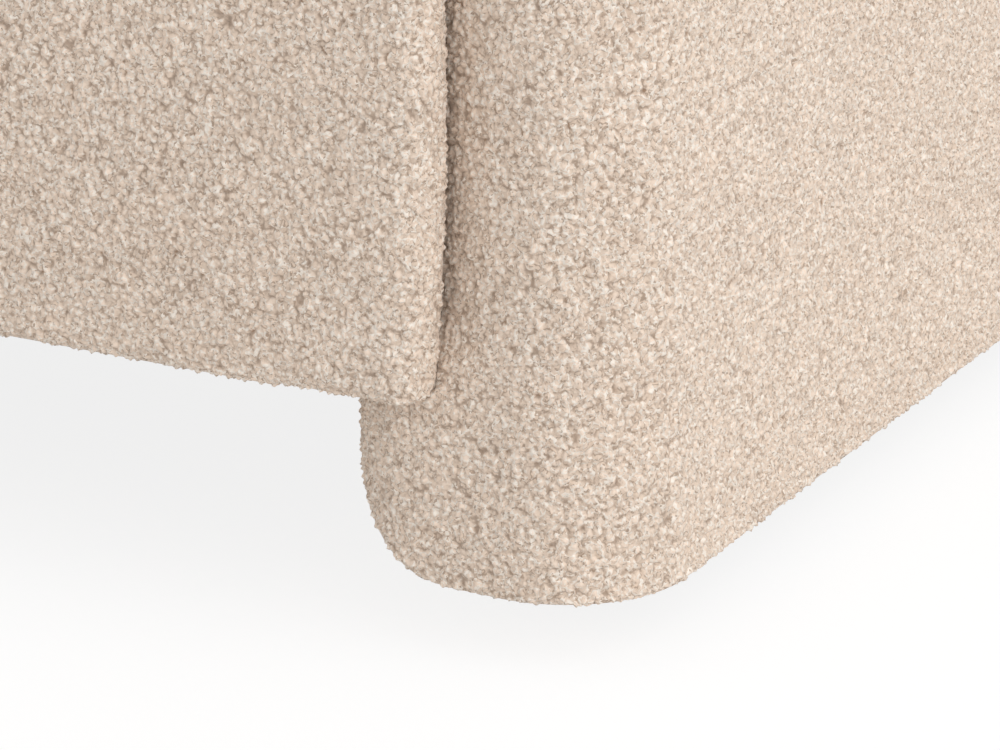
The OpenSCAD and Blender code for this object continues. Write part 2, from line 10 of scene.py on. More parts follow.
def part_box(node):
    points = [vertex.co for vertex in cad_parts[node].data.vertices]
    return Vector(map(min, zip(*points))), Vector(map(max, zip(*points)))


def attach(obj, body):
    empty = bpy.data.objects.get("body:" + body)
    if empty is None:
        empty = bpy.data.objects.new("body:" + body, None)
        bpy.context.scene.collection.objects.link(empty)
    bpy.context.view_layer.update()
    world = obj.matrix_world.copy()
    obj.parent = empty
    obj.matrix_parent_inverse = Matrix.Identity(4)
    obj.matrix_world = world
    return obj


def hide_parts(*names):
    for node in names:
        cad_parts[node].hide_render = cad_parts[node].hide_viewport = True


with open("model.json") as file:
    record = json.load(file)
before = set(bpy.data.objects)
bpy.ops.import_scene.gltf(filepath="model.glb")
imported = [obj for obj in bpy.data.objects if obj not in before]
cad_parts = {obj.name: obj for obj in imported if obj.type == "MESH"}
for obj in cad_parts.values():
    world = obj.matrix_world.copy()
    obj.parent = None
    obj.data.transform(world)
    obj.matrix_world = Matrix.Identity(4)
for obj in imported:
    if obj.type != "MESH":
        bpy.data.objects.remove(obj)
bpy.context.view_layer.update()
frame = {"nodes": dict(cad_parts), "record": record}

nodes = frame["nodes"]
scene = bpy.context.scene

# lengths are in metres and angles in degrees; the camera looks closely at the right arm's lower front corner
cameraView = {
    "azimuth": 28.3,
    "elevation": 19.3,
    "distance": 2.2,
    "lens": 148,
    "tallToWide": 0.75,
    "leftOfCorner": 0.068,
    "aboveCorner": 0.1368,
}


def outwards(azimuth, elevation):  # from the sofa towards the camera or a lamp
    turn, lift = math.radians(azimuth), math.radians(elevation)
    return Vector((math.sin(turn) * math.cos(lift), -math.cos(turn) * math.cos(lift), math.sin(lift)))


def placeCamera():
    turn = math.radians(cameraView["azimuth"])
    back = outwards(cameraView["azimuth"], cameraView["elevation"])
    right = Vector((math.cos(turn), math.sin(turn), 0))
    up = back.cross(right)
    low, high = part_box("arm_cover_right")
    aim = Vector((high.x, low.y, low.z)) - right * cameraView["leftOfCorner"] + up * cameraView["aboveCorner"]
    camera = bpy.data.objects.new("camera", bpy.data.cameras.new("camera"))
    scene.collection.objects.link(camera)
    camera.data.lens = cameraView["lens"]
    camera.data.clip_end = 200
    camera.location = aim + back * cameraView["distance"]
    camera.rotation_euler = back.to_track_quat("Z", "Y").to_euler()
    scene.camera = camera
    return {"place": np.array(camera.location), "back": np.array(back), "right": np.array(right),
            "up": np.array(up), "reach": camera.data.sensor_width / 2 / cameraView["lens"]}


eye = placeCamera()
print("camera placed")


class Signal:  # a node's output socket; expressions on it add Math nodes
    def __init__(self, tree, socket=None):
        self.tree = tree
        self.socket = socket

    def node(self, kind, settings=None, inputs=None, output=0):
        made = self.tree.nodes.new(kind)
        for name, value in (settings or {}).items():
            setattr(made, name, value)
        for name, value in (inputs or {}).items():
            if isinstance(value, Signal):
                self.tree.links.new(value.socket, made.inputs[name])
            else:
                made.inputs[name].default_value = value
        return Signal(self.tree, made.outputs[output]) if made.outputs else None

    def also(self, output):  # another output of the same node
        return Signal(self.tree, self.socket.node.outputs[output])

    def maths(self, operation, *others):  # with this value first
        return self.node("ShaderNodeMath", {"operation": operation}, dict(enumerate((self, *others))))

    def between(self, low, high):  # smooth step from 0 at low to 1 at high
        return self.node("ShaderNodeMapRange", {"interpolation_type": "SMOOTHSTEP"},
                         {"Value": self, "From Min": low, "From Max": high})

    def mixed(self, first, second):  # first to second colour, by this value; 6 and 7 are the colours' sockets
        first, second = [c if isinstance(c, Signal) else (*c, 1) for c in (first, second)]
        return self.node("ShaderNodeMix", {"data_type": "RGBA"}, {0: self, 6: first, 7: second}, 2)

    def vector(self, operation, other):
        return self.node("ShaderNodeVectorMath", {"operation": operation}, {0: self, 1: other})

    def along(self, way):  # how far this vector reaches along another
        return self.vector("DOT_PRODUCT", way).also("Value")

    def __add__(self, other):
        return self.maths("ADD", other)

    def __sub__(self, other):
        return self.maths("SUBTRACT", other)

    def __rsub__(self, other):
        return self.node("ShaderNodeMath", {"operation": "SUBTRACT"}, {0: other, 1: self})

    def __mul__(self, other):
        return self.maths("MULTIPLY", other)

    __radd__, __rmul__ = __add__, __mul__


def noise(start, coords, scale, detail=2.0, output="Fac", **more):
    inputs = {"Vector": coords, "Scale": scale, "Detail": detail, **more}
    return start.node("ShaderNodeTexNoise", {}, inputs, output)


def cells(start, coords, scale, output="Distance"):
    return start.node("ShaderNodeTexVoronoi", {}, {"Vector": coords, "Scale": scale}, output)


def stretched(start, coords, scale):
    return start.node("ShaderNodeMapping", {}, {"Vector": coords, "Scale": scale})


def finish(name, build, depth, **fixed):
    material = bpy.data.materials.new(name)
    material.use_nodes = True
    material.node_tree.nodes.clear()
    start = Signal(material.node_tree)
    coords = start.node("ShaderNodeTexCoord", output="Object")
    colour, roughness, relief = build(start, coords)
    bump = start.node("ShaderNodeBump", {}, {"Height": relief, "Distance": depth}, "Normal")
    surface = start.node("ShaderNodeBsdfPrincipled", {},
                         {"Base Color": colour, "Roughness": roughness, "Normal": bump, **fixed})
    start.node("ShaderNodeOutputMaterial", {}, {"Surface": surface})
    return material


# looped cover fabric
boucleYarn = {
    "loopsPerMetre": 235,
    "loopSlope": 1.08,  # how fast a loop falls away from its middle
    "lowLoopsPerMetre": 300,  # the ones seen between them
    "lowLoopTop": 0.62,
    "lowLoopSlope": 0.7,
    "lowLoopShift": (3.1, 1.7, 2.3),
    "ringTightness": 4.5,  # how closely turns of yarn lie round a loop's middle
    "curlsPerMetre": 300,
    "curl": 9.0,  # how much the turns wind about
    "drift": 0.0032,  # how far the loops wander
    "driftPerMetre": 160,
    "kink": 0.0014,  # the same, of the yarn in them
    "kinkPerMetre": 560,
    "rise": 0.0042,  # from the gaps to the tops
    "middle": 0.5,  # relief that stays on the form's surface
    "loopRelief": 0.5,
    "grainRelief": 0.10,
    "yarnRelief": 0.06,
    "roughness": 0.92,
    "threadShine": 0.12,
    # painted shade: a dark colour laid along the low yarn turns, where shade falls between them
    "creviceShade": (0.45, 0.335, 0.255),
    # painted shade: gap and shade colour the loops darker from their middles down into the gaps between them
    "gap": (0.52, 0.40, 0.315),
    "shade": (0.81, 0.66, 0.54),
    # painted light: the loops' tops are coloured lighter, in patches set by a random grain
    "top": (0.93, 0.775, 0.65),
    # painted highlight: a near-white colour on the raised yarn turns
    "threadHighlight": (1.0, 0.92, 0.83),
    "fleck": (0.30, 0.17, 0.09),
    "tone": 0.88,  # the darkest patch
    "patchesPerMetre": 22,
    "patchTone": 0.10,
    "loopTone": 0.12,
}


def wander(start, coords, perMetre, reach):
    shift = noise(start, coords, perMetre, 1, "Color").vector("SUBTRACT", (0.5, 0.5, 0.5))
    return coords.vector("ADD", shift.vector("MULTIPLY", (reach, reach, reach)))


def yarnRelief(start, coords):  # the loops, and the curled yarn round each of them
    bent = wander(start, coords, boucleYarn["driftPerMetre"], boucleYarn["drift"])
    bent = wander(start, bent, boucleYarn["kinkPerMetre"], boucleYarn["kink"])
    middle = cells(start, bent, boucleYarn["loopsPerMetre"])
    low = cells(start, bent.vector("ADD", boucleYarn["lowLoopShift"]), boucleYarn["lowLoopsPerMetre"])
    high = 1 - middle * boucleYarn["loopSlope"]
    loops = high.maths("MAXIMUM", boucleYarn["lowLoopTop"] - low * boucleYarn["lowLoopSlope"])
    wisp = noise(start, bent, boucleYarn["curlsPerMetre"], 1.0)
    turns = middle * boucleYarn["ringTightness"] + wisp * boucleYarn["curl"]
    yarn = 1 - turns.maths("SINE").maths("ABSOLUTE")
    return loops, yarn, bent


def boucleFinish(start, coords):
    coords = coords.vector("ADD", start.node("ShaderNodeAttribute", {"attribute_name": "lift"}, {}, "Vector"))
    # 1 where the loops are modelled
    close = start.node("ShaderNodeAttribute", {"attribute_name": "close"}, {}, "Fac")
    loops, yarn, bent = yarnRelief(start, coords)
    pick = cells(start, bent, boucleYarn["loopsPerMetre"], "Color").along((1, 0, 0))  # a number for each loop
    grain = noise(start, bent, boucleYarn["curlsPerMetre"] * 1.3, 2).between(0.38, 0.58)
    # painted shade: the loops darken by their relief from their middles down into the gaps
    colour = loops.between(0.08, 0.42).mixed(boucleYarn["gap"], boucleYarn["shade"])
    # painted light on the loops' tops, patchy by a random grain
    colour = (grain * loops.between(0.15, 0.5)).mixed(colour, boucleYarn["top"])
    # the yarn turns' ridges carry painted shade where they lie low and a painted highlight where they are
    # raised
    threadHighlight = yarn.between(0.3, 0.7)
    raised = grain.between(0.1, 0.4)
    # painted shade along the yarn turns that lie low
    colour = (threadHighlight * (1 - raised) * 0.85).mixed(colour, boucleYarn["creviceShade"])
    # painted highlight on the raised turns, which are also made less rough
    threadHighlight = threadHighlight * raised * loops.between(0.12, 0.4)
    colour = threadHighlight.mixed(colour, boucleYarn["threadHighlight"])
    rare = pick.between(0.965, 0.98)
    colour = (rare * (1 - loops.between(0.15, 0.35)) * 0.6).mixed(colour, boucleYarn["fleck"])
    patches = noise(start, coords, boucleYarn["patchesPerMetre"], 2)
    tone = patches * boucleYarn["patchTone"] + pick * boucleYarn["loopTone"] + boucleYarn["tone"]
    colour = colour.vector("MULTIPLY", start.node("ShaderNodeCombineXYZ", {}, {0: tone, 1: tone, 2: tone}))
    relief = loops * (1 - close) * boucleYarn["loopRelief"]
    relief = relief + grain * boucleYarn["grainRelief"] + yarn * boucleYarn["yarnRelief"]
    return colour, boucleYarn["roughness"] - threadHighlight * boucleYarn["threadShine"], relief


oak = {"pale": (0.34, 0.19, 0.095), "dark": (0.20, 0.10, 0.047), "ringsPerMetre": 26, "grainAlong": 2}
timber = {"pale": (0.62, 0.46, 0.28), "dark": (0.46, 0.31, 0.17), "ringsPerMetre": 18, "grainAlong": 0}


def woodFinish(wood):
    drawnOut = tuple(0.07 if k == wood["grainAlong"] else 1 for k in range(3))

    def build(start, coords):
        grain = stretched(start, coords, drawnOut)
        rings = noise(start, grain, wood["ringsPerMetre"], 3, Distortion=0.9)
        pores = noise(start, grain, 900, 2).between(0.56, 0.72)
        streak = (rings * 9.0).maths("FRACT")
        colour = streak.between(0.0, 1.0).mixed(wood["pale"], wood["dark"])
        colour = (pores * 0.45).mixed(colour, tuple(c * 0.45 for c in wood["dark"]))
        return colour, 0.42 + pores * 0.2 + rings * 0.1, streak * 0.35 - pores
    return build


ply = {"layersPerMetre": 700, "pale": (0.62, 0.44, 0.26), "dark": (0.46, 0.31, 0.17),
       "streak": (0.34, 0.21, 0.11)}


def plyFinish(start, coords):
    layers = coords.along((0, ply["layersPerMetre"], 0)).maths("FRACT").between(0.42, 0.58)
    grain = noise(start, stretched(start, coords, (1, 1, 0.08)), 260, 3)
    colour = layers.mixed(ply["pale"], ply["dark"])
    colour = (grain.between(0.45, 0.7) * 0.4).mixed(colour, ply["streak"])
    return colour, 0.62 + grain * 0.15, grain


board = {"chipsPerMetre": 420, "dark": (0.30, 0.19, 0.10), "pale": (0.42, 0.28, 0.16)}


def boardFinish(start, coords):
    chips = noise(start, coords, board["chipsPerMetre"], 4)
    return chips.between(0.3, 0.7).mixed(board["dark"], board["pale"]), 0.6 + chips * 0.2, chips


foam = {"poresPerMetre": 700, "dark": (0.62, 0.55, 0.36), "pale": (0.86, 0.81, 0.62)}


def foamFinish(start, coords):
    pores = cells(start, coords, foam["poresPerMetre"])
    return pores.between(0.1, 0.7).mixed(foam["dark"], foam["pale"]), 0.85 + pores * 0.1, pores


blackCloth = {"fibresPerMetre": 1400, "bondsPerMetre": 420, "dark": (0.010, 0.010, 0.011),
              "pale": (0.035, 0.034, 0.034)}


def clothFinish(start, coords):
    fibres = noise(start, coords, blackCloth["fibresPerMetre"], 3, Distortion=1.2)
    bonds = cells(start, coords, blackCloth["bondsPerMetre"])
    colour = fibres.between(0.35, 0.65).mixed(blackCloth["dark"], blackCloth["pale"])
    return colour, 0.8 + bonds * 0.15, fibres + bonds * 0.5


felt = {"fibresPerMetre": 900, "dark": (0.10, 0.095, 0.09), "pale": (0.24, 0.23, 0.215)}


def feltFinish(start, coords):
    fibres = noise(start, coords, felt["fibresPerMetre"], 4, Distortion=2.0)
    return fibres.between(0.3, 0.7).mixed(felt["dark"], felt["pale"]), 0.9 + fibres * 0.08, fibres


steel = {"scratchesPerMetre": 900, "dullPerMetre": 60, "bright": (0.56, 0.57, 0.58),
         "dull": (0.42, 0.43, 0.44)}


def steelFinish(start, coords):
    scratches = noise(start, stretched(start, coords, (1, 0.05, 1)), steel["scratchesPerMetre"], 2)
    dull = noise(start, coords, steel["dullPerMetre"], 3)
    colour = dull.between(0.35, 0.7).mixed(steel["bright"], steel["dull"])
    return colour, 0.3 + scratches * 0.15 + dull * 0.1, scratches


# one finish for each material slot, with the height of its relief
finishes = {
    "boucle": finish("boucleFabric", boucleFinish, boucleYarn["rise"],
                     **{"Sheen Weight": 0.35, "Sheen Roughness": 0.55, "Sheen Tint": (1.0, 0.93, 0.86, 1),
                        "Specular IOR Level": 0.2}),
    "leg_wood": finish("turnedOak", woodFinish(oak), 0.0002, **{"Coat Weight": 0.25, "Coat Roughness": 0.3}),
    "frame_timber": finish("frameTimber", woodFinish(timber), 0.0003),
    "plywood": finish("ribPlywood", plyFinish, 0.0003),
    "hardboard": finish("panelBoard", boardFinish, 0.0002),
    "foam": finish("openFoam", foamFinish, 0.0008),
    "dust_cover": finish("underCloth", clothFinish, 0.0002),
    "felt": finish("greyFelt", feltFinish, 0.0006),
    "steel": finish("brightSteel", steelFinish, 0.00005, Metallic=1.0),
}
for part in frame["record"]["subparts"]:
    mesh = nodes[part["node"]].data
    for k in range(len(mesh.materials)):
        mesh.materials[k] = finishes[part["material_slot"]]
print("materials made")

# each padded form is a function that gives the distance of points to its surface
underside = {"flat": 0.004, "fade": 0.04}
handPulled = {"waves": 7, "spread": (0.7, 1.5), "calm": 4}


def cornered(u, v, low, high, radii):  # a rectangle with its own radius at each corner
    midU, midV = (low[0] + high[0]) / 2, (low[1] + high[1]) / 2
    lower, upper = np.where(u < midU, radii[0], radii[1]), np.where(u < midU, radii[3], radii[2])
    radius = np.where(v < midV, lower, upper)
    outU = np.abs(u - midU) - (high[0] - low[0]) / 2 + radius
    outV = np.abs(v - midV) - (high[1] - low[1]) / 2 + radius
    inside = np.minimum(np.maximum(outU, outV), 0)
    return inside + np.hypot(np.maximum(outU, 0), np.maximum(outV, 0)) - radius


def softMeet(a, b, blend):  # what lies in both, with the edge between them eased
    near = np.maximum(blend - np.abs(a - b), 0) / blend
    return np.maximum(a, b) + near * near * blend / 4


def roundMeet(a, b, radius):  # the same, with a round edge
    outA, outB = np.maximum(a + radius, 0), np.maximum(b + radius, 0)
    return np.minimum(np.maximum(a, b), -radius) + np.hypot(outA, outB)


def bulge(u, low, high):  # 1 midway, 0 at both ends
    return np.clip(1 - ((2 * u - low - high) / (high - low)) ** 2, 0, 1)


def ramp(past, width):  # from 0 to 1 over a width
    return np.clip(past / width, 0, 1)


def lumps(points, seed, size, height):  # slow unevenness of a hand-pulled cover
    rng = np.random.default_rng(seed)
    total = np.zeros(len(points))
    for _ in range(handPulled["waves"]):
        way = rng.normal(size=3)
        way /= np.linalg.norm(way)
        frequency = 2 * math.pi / size * rng.uniform(*handPulled["spread"])
        total += np.sin(points @ way * frequency + rng.uniform(0, 6.3))
    return total * height / handPulled["calm"]


def flatBelow(z, bottom):  # 0 at a pad's underside, where a thin cloth is stretched across
    return ramp(z - bottom - underside["flat"], underside["fade"])


def corners(node):
    low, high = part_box(node)
    return np.array(low), np.array(high)


armLow, armHigh = corners("arm_cover_right")
seatLow, seatHigh = corners("seat_cover")
backLow, backHigh = corners("back_cover")
innerSide = armLow[0]  # from the middle of the sofa to an arm

armPad = {
    "cell": 0.008,  # of the mesh
    "endRadius": 0.078,  # both ends, from above
    "lowRadius": 0.097,  # lower inner corner, from the front
    "topRadius": 0.08,
    "crestRadius": 0.11,  # top corners, from the side
    "hemRadius": 0.003,
    "ease": 0.006,  # where two roundings meet
    "crown": 0.0035,
    "crownFade": 0.15,
    "uneven": 0.0006,
    "unevenSize": 0.16,
    "front": -0.30,  # the front's own shape begins here
    "frontFade": 0.08,
    "dip": 0.021,  # how far the front is pulled in beside the seat
    "dipAt": 0.905,
    "dipWidth": 0.048,
    "dipFade": 0.05,
    "dipAbove": 0.03,
    "dipTopFade": 0.08,
    "pulledIn": 0.004,  # inner face below the seat
    "pulledAbove": 0.002,
    "pulledFade": 0.02,
    "seeds": (3, 5),  # right and left
}


def armDistance(p, seed=armPad["seeds"][0]):
    x, y, z = p.T
    front = ramp(armPad["front"] - y, armPad["frontFade"])
    beside = ramp(z - seatLow[2], armPad["dipFade"])
    beside = beside * ramp(seatHigh[2] + armPad["dipAbove"] - z, armPad["dipTopFade"])
    dip = armPad["dip"] * np.exp(-((x - armPad["dipAt"]) / armPad["dipWidth"]) ** 2) * beside * front
    below = ramp(seatLow[2] + armPad["pulledAbove"] - z, armPad["pulledFade"]) * armPad["pulledIn"]
    alongX, alongY, alongZ = (bulge(v, armLow[k], armHigh[k]) for k, v in enumerate((x, y, z)))
    outer = ramp(x - armLow[0], armPad["crownFade"])
    upper = ramp(z - armLow[2], armHigh[2] - armLow[2])
    x = x - armPad["crown"] * alongY * alongZ * outer - below * (1 - outer)
    y = y - dip + 0.5 * armPad["crown"] * alongX * alongZ * front
    z = z - armPad["crown"] * alongX * alongY * upper ** 4
    hem, top, crest = armPad["hemRadius"], armPad["topRadius"], armPad["crestRadius"]
    fromAbove = cornered(x, y, armLow[:2], armHigh[:2], [armPad["endRadius"]] * 4)
    fromFront = cornered(x, z, armLow[[0, 2]], armHigh[[0, 2]], [armPad["lowRadius"], hem, top, top])
    fromSide = cornered(y, z, armLow[1:], armHigh[1:], [hem, hem, crest, crest])
    body = softMeet(softMeet(fromAbove, fromFront, armPad["ease"]), fromSide, armPad["ease"])
    uneven = lumps(p, seed, armPad["unevenSize"], armPad["uneven"])
    return body - uneven * outer * flatBelow(p[:, 2], armLow[2])


seatPad = {
    "cell": 0.008,
    "noseHalf": 0.940,  # from the middle to the nose's end
    "noseEndRadius": 0.023,
    "noseBackRadius": 0.017,
    "lap": 0.012,  # of the nose over the arms' fronts
    "nose": 0.108,  # front to back
    "fill": 0.912,  # from the middle to the end of what fills the nose
    "fillEdge": 0.035,
    "fillInset": 0.01,
    "fillDrop": 0.004,
    "hemRadius": 0.014,
    "edgeRadius": 0.08,
    "gap": 0.0003,  # to the arms
    "gapEase": 0.003,
    "ease": 0.008,
    "crown": 0.010,
    "crownFrom": 0.3,
    "crownFade": 0.12,
    "crownPast": 0.1,  # the crown and the side outline run on behind the seat
    "sidePast": 0.2,
    "frontCrown": 0.003,
    "front": -0.40,
    "frontFade": 0.03,
    "endBow": 0.008,  # how far the nose's ends draw in above and below their middle
    "endBowMiddle": 0.318,
    "endBowHalf": 0.16,
    "endBowOut": 0.003,
    "uneven": 0.0007,
    "unevenSize": 0.18,
    "unevenFade": 0.1,
    "seed": 11,
    "outline": {"inset": 0.001, "noseDepth": 0.028, "past": 0.05},  # of the plan that it is formed from
}


def seatCrown(x, y):
    behind = seatHigh[1] + seatPad["crownPast"]
    return seatPad["crown"] * bulge(x, -innerSide, innerSide) * bulge(y, seatLow[1], behind)


def seatDistance(p):
    x, y, z = p.T
    x = np.abs(x)
    z = z - seatCrown(x, y) * ramp(z - seatPad["crownFrom"], seatPad["crownFade"])
    crowned = bulge(z, seatLow[2], seatHigh[2]) * ramp(seatPad["front"] - y, seatPad["frontFade"])
    y = y + seatPad["frontCrown"] * crowned
    hem, edge, fillEdge = seatPad["hemRadius"], seatPad["edgeRadius"], seatPad["fillEdge"]
    end, backEnd, ease = seatPad["noseEndRadius"], seatPad["noseBackRadius"], seatPad["ease"]
    bow = seatPad["endBow"] * ((z - seatPad["endBowMiddle"]) / seatPad["endBowHalf"]) ** 2
    wide = x + bow - seatPad["endBowOut"]
    half, front, back = seatPad["noseHalf"], seatLow[1], armLow[1] + seatPad["lap"]
    lip = cornered(wide, y, (-half, front), (half, back), [end, end, backEnd, backEnd])
    lipFront = cornered(wide, z, (-half, seatLow[2]), (half, seatHigh[2]), [hem, hem, edge, edge])
    half, front, back = seatPad["fill"], seatLow[1] + seatPad["fillInset"], seatLow[1] + seatPad["nose"]
    fill = cornered(wide, y, (-half, front), (half, back), [end, end, 0, 0])
    top = seatHigh[2] - seatPad["fillDrop"]
    fillFront = cornered(wide, z, (-half, seatLow[2]), (half, top), [hem, hem, fillEdge, fillEdge])
    nose = np.minimum(softMeet(lip, lipFront, ease), np.maximum(fill, fillFront))
    nose = softMeet(nose, seatPad["gap"] - armDistance(np.stack([x, y, p[:, 2]], 1)), seatPad["gapEase"])
    body = np.maximum(np.maximum(x - (innerSide - seatPad["gap"]), y - seatHigh[1]), seatLow[1] - y)
    behind = seatHigh[1] + seatPad["sidePast"]
    side = cornered(y, z, (seatLow[1], seatLow[2]), (behind, seatHigh[2]), [hem, 0, 0, edge])
    uneven = lumps(p, seatPad["seed"], seatPad["unevenSize"], seatPad["uneven"])
    uneven = uneven * ramp(innerSide - x, seatPad["unevenFade"]) * flatBelow(p[:, 2], seatLow[2])
    return softMeet(np.minimum(nose, body), side, ease) - uneven


backPad = {
    "cell": 0.010,
    "roll": 0.072,  # radius of the top and the upper ends
    "topDepth": 0.165,
    "knee": 0.44,  # the height from which the front leans
    "kneeEase": 0.02,
    "straight": 0.42,  # the ends are square up to here
    "straightFade": 0.15,
    "hemRadius": 0.012,
    "gap": 0.0003,  # to the arms
    "ease": 0.01,
    "crown": 0.004,
    "uneven": 0.0009,
    "unevenSize": 0.2,
    "seed": 23,
}


def backDistance(p):
    x, y, z = p.T
    kneeY, topY = backLow[1], backHigh[1] - backPad["topDepth"]
    slope = np.array([topY - kneeY, backHigh[2] - backPad["knee"]])
    slope /= np.linalg.norm(slope)
    rake = -(y - kneeY) * slope[1] + (z - backPad["knee"]) * slope[0]
    depth = np.maximum(softMeet(kneeY - y, rake, backPad["kneeEase"]), y - backHigh[1])
    above, ends = z - backHigh[2], np.abs(x) - (innerSide - backPad["gap"])
    rolled = roundMeet(roundMeet(depth, above, backPad["roll"]), ends, backPad["roll"])
    square = softMeet(np.maximum(ends, depth), above, backPad["ease"])
    upper = ramp(z - backPad["straight"], backPad["straightFade"])
    body = rolled * upper + square * (1 - upper)
    body = roundMeet(body, backLow[2] - z, backPad["hemRadius"])
    crown = backPad["crown"] * bulge(x, -innerSide, innerSide) * bulge(z, backLow[2], backHigh[2])
    uneven = lumps(p, backPad["seed"], backPad["unevenSize"], backPad["uneven"])
    return body - crown - uneven * flatBelow(z, backLow[2])


settling = {"probe": 0.0004, "leastSlope": 0.3, "furthest": 0.02}
closeUp = {
    "levels": 3,  # times that the faces in view are divided
    "margin": 1.08,  # how far it goes, where the view's edges are at 1
    "marginPerLevel": 0.03,
    "fade": 0.05,
    "turned": -0.10,  # faces turned further away than this stay plain
    "turnedFade": 0.1,
}


def prism(plan, bottom, top):  # upright, over a plan outline
    bm = bmesh.new()
    base = bm.faces.new([bm.verts.new((x, y, bottom)) for x, y in plan])
    grown = bmesh.ops.extrude_face_region(bm, geom=[base])["geom"]
    for corner in grown:
        if isinstance(corner, bmesh.types.BMVert):
            corner.co.z = top
    bmesh.ops.recalc_face_normals(bm, faces=bm.faces[:])
    return bm


def rectangle(low, high):
    return [(low[0], low[1]), (high[0], low[1]), (high[0], high[1]), (low[0], high[1])]


def pieceFrom(bm, name, material):
    mesh = bpy.data.meshes.new(name)
    bm.to_mesh(mesh)
    bm.free()
    mesh.materials.append(material)
    for face in mesh.polygons:
        face.use_smooth = True
    piece = bpy.data.objects.new(name, mesh)
    scene.collection.objects.link(piece)
    return piece


def twin(piece, name):  # a copy with a mesh of its own
    copied = piece.copy()
    copied.data = piece.data.copy()
    copied.name = name
    scene.collection.objects.link(copied)
    return copied


def applied(piece):  # makes the piece's modifiers part of its mesh
    bpy.context.view_layer.update()
    done = bpy.data.meshes.new_from_object(piece.evaluated_get(bpy.context.evaluated_depsgraph_get()))
    piece.modifiers.clear()
    piece.data = done


def remeshed(piece, cell):
    remesh = piece.modifiers.new("cells", "REMESH")
    remesh.mode = "VOXEL"
    remesh.voxel_size = cell
    remesh.use_smooth_shade = True
    applied(piece)


def coordinates(mesh):
    co = np.empty(len(mesh.vertices) * 3)
    mesh.vertices.foreach_get("co", co)
    return co.reshape(-1, 3)


def setCoordinates(mesh, co):
    mesh.vertices.foreach_set("co", co.ravel())
    mesh.update()


def vertexNormals(mesh):
    normals = np.empty(len(mesh.vertices) * 3)
    mesh.vertex_normals.foreach_get("vector", normals)
    return normals.reshape(-1, 3)


def settled(co, distance, rounds):  # moves points onto the form's surface
    probe = settling["probe"]
    for _ in range(rounds):
        slope = np.stack([distance(co + e) - distance(co - e) for e in np.eye(3) * probe], 1) / (2 * probe)
        steepness = np.maximum((slope ** 2).sum(1), settling["leastSlope"])
        move = slope * (distance(co) / steepness)[:, None]
        length = np.linalg.norm(move, axis=1, keepdims=True)
        co = co - move * np.minimum(1, settling["furthest"] / np.maximum(length, 1e-9))
    return co


def evened(mesh, co, distance, rounds=8):  # spaces points alike over the form, so that no face folds
    ends = np.empty(len(mesh.edges) * 2, dtype=int)
    mesh.edges.foreach_get("vertices", ends)
    ends = ends.reshape(-1, 2)
    neighbours = np.bincount(ends.ravel(), minlength=len(co))[:, None]
    for _ in range(rounds):
        total = np.zeros_like(co)
        np.add.at(total, ends[:, 0], co[ends[:, 1]])
        np.add.at(total, ends[:, 1], co[ends[:, 0]])
        co = settled((co + total / neighbours) / 2, distance, 2)
    return co


def formed(name, plan, bottom, top, cell, distance):
    piece = pieceFrom(prism(plan, bottom, top), name, finishes["boucle"])
    remeshed(piece, cell)
    co = settled(coordinates(piece.data), distance, 8)
    setCoordinates(piece.data, evened(piece.data, co, distance))
    return piece


def inView(co):  # how far across or up the view, whichever is more, with its edges at 1
    toPoint = co - eye["place"]
    depth = -toPoint @ eye["back"]
    across = np.abs(toPoint @ eye["right"]) / depth / eye["reach"]
    up = np.abs(toPoint @ eye["up"]) / depth / (eye["reach"] * cameraView["tallToWide"])
    return np.maximum(across, up)


def towardsEye(co, normals):
    toEye = eye["place"] - co
    return (normals * toEye).sum(1) / np.linalg.norm(toEye, axis=1)


def refined(piece, distance):  # more vertices where the camera looks closely
    bm = bmesh.new()
    bm.from_mesh(piece.data)
    for level in range(closeUp["levels"]):
        bm.faces.ensure_lookup_table()
        centres = np.array([f.calc_center_median() for f in bm.faces])
        normals = np.array([f.normal for f in bm.faces])
        limit = closeUp["margin"] + closeUp["marginPerLevel"] * (closeUp["levels"] - level)
        facing = towardsEye(centres, normals) > closeUp["turned"] - closeUp["turnedFade"]
        wanted = (inView(centres) < limit) & facing
        edges = {e for k in np.flatnonzero(wanted) for e in bm.faces[k].edges}
        bmesh.ops.subdivide_edges(bm, edges=list(edges), cuts=1, use_grid_fill=True)
        for v, place in zip(bm.verts, settled(np.array([v.co for v in bm.verts]), distance, 2)):
            v.co = place
        bm.normal_update()
    bm.to_mesh(piece.data)
    bm.free()
    setCoordinates(piece.data, settled(coordinates(piece.data), distance, 2))
    for face in piece.data.polygons:
        face.use_smooth = True


def yarnLoops():  # the nodes that move vertices out by the yarn's relief
    tree = bpy.data.node_groups.new("yarnLoops", "GeometryNodeTree")
    tree.interface.new_socket("Geometry", in_out="INPUT", socket_type="NodeSocketGeometry")
    tree.interface.new_socket("Geometry", in_out="OUTPUT", socket_type="NodeSocketGeometry")
    start = Signal(tree)
    loops = yarnRelief(start, start.node("GeometryNodeInputPosition"))[0]
    amount = start.node("GeometryNodeInputNamedAttribute", {"data_type": "FLOAT"}, {"Name": "close"})
    height = (loops - boucleYarn["middle"]) * boucleYarn["rise"] * amount
    outward = start.node("ShaderNodeVectorMath", {"operation": "SCALE"},
                         {0: start.node("GeometryNodeInputNormal"), "Scale": height})
    moved = start.node("GeometryNodeSetPosition", {},
                       {"Geometry": start.node("NodeGroupInput"), "Offset": outward})
    start.node("NodeGroupOutput", {}, {0: moved})
    return tree


